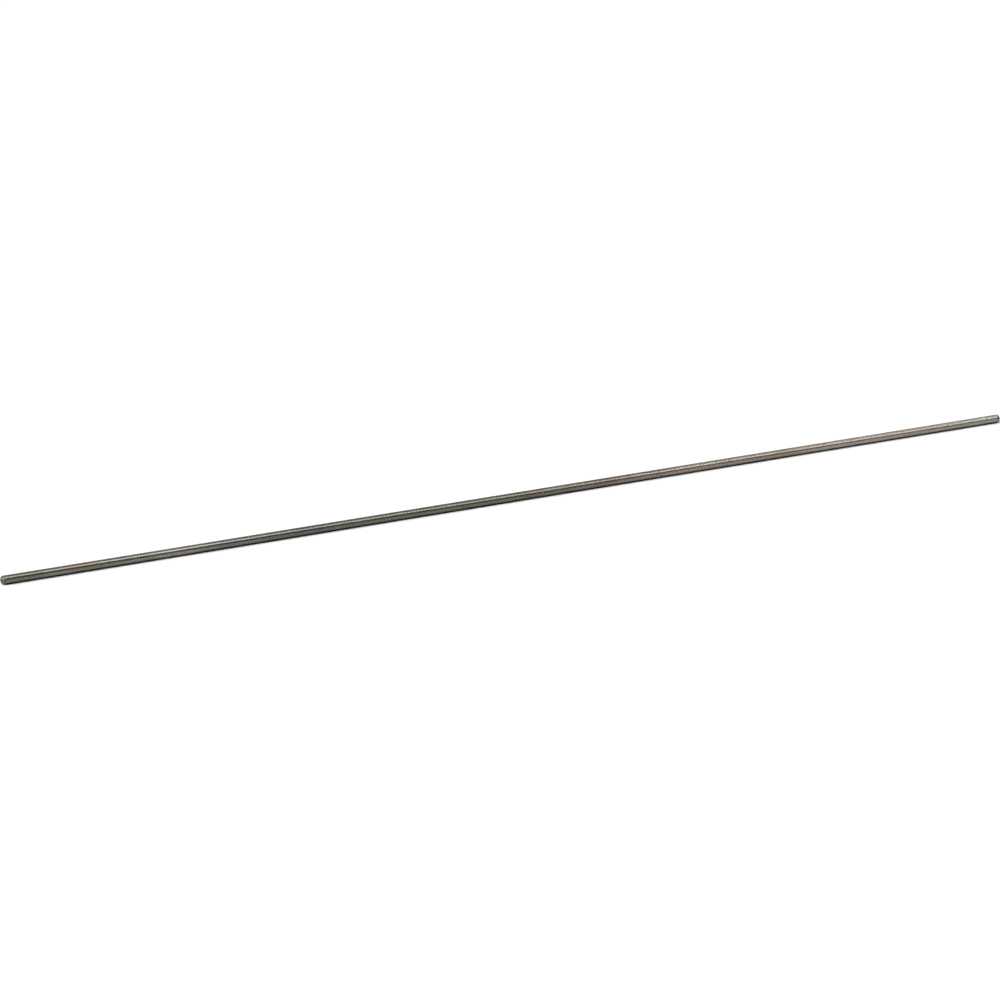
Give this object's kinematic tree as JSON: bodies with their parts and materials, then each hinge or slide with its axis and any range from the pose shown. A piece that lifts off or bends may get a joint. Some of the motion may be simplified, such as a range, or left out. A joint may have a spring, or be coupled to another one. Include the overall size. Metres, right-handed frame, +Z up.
{
  "type": "threaded rod",
  "caption": "Straight steel rod with a right-hand thread along its whole length and chamfered ends, for hanging, clamping and joining things with nuts.",
  "frame": {"origin": "on the rod's axis, halfway along its length", "axes": "+X along the rod's axis, +Z up when it lies on a flat surface; the two ends are alike"},
  "size_m": [0.9144, 0.0064, 0.0064],
  "materials": {
    "rolled_steel": "plain thread-rolled low carbon steel, satin, with a thin film of oil, no plating"
  },
  "bodies": {
    "root": {"threaded_rod": "rolled_steel"}
  },
  "joints": []
}
